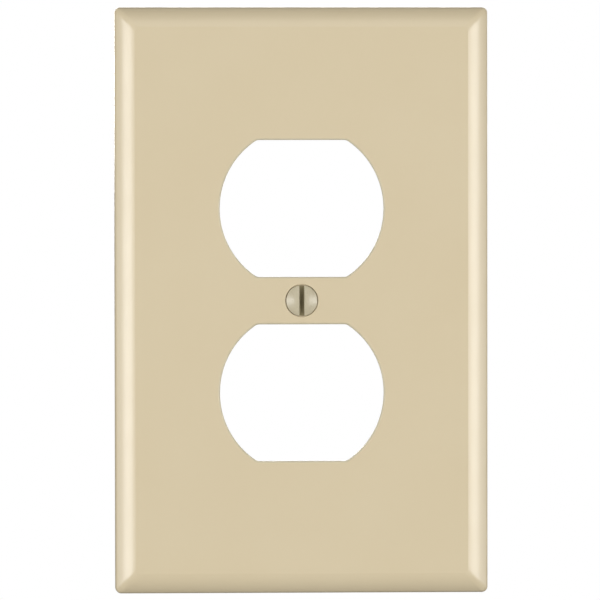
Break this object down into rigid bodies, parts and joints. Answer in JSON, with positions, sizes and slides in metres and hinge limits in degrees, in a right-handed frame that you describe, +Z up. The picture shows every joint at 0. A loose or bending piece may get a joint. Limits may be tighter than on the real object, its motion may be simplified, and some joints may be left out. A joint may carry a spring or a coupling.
{
  "type": "duplex receptacle wall plate",
  "caption": "Ivory midway-size wall plate with crowned edges and duplex receptacle openings, held by a slotted oval-head screw.",
  "frame": {"origin": "centre of the plate in the plane of its back rim, which is the face of the wall, on the screw's axis", "axes": "+Z up the plate, +X to the right as seen from the front, -Y out of the front face, +Y into the wall along the screw"},
  "size_m": [0.079, 0.0135, 0.1242],
  "materials": {
    "ivory_thermoset": "moulded thermoset, semi-gloss",
    "enamelled_steel": "ivory enamel on a steel screw head, semi-gloss"
  },
  "bodies": {
    "plate": {"cover_plate": "ivory_thermoset"},
    "screw": {"mounting_screw": "enamelled_steel"}
  },
  "joints": [
    {"name": "screw_withdraw", "type": "slide", "parent": "plate", "child": "screw", "axis": [0, -1, 0], "range_m": [0, 0.012]}
  ]
}
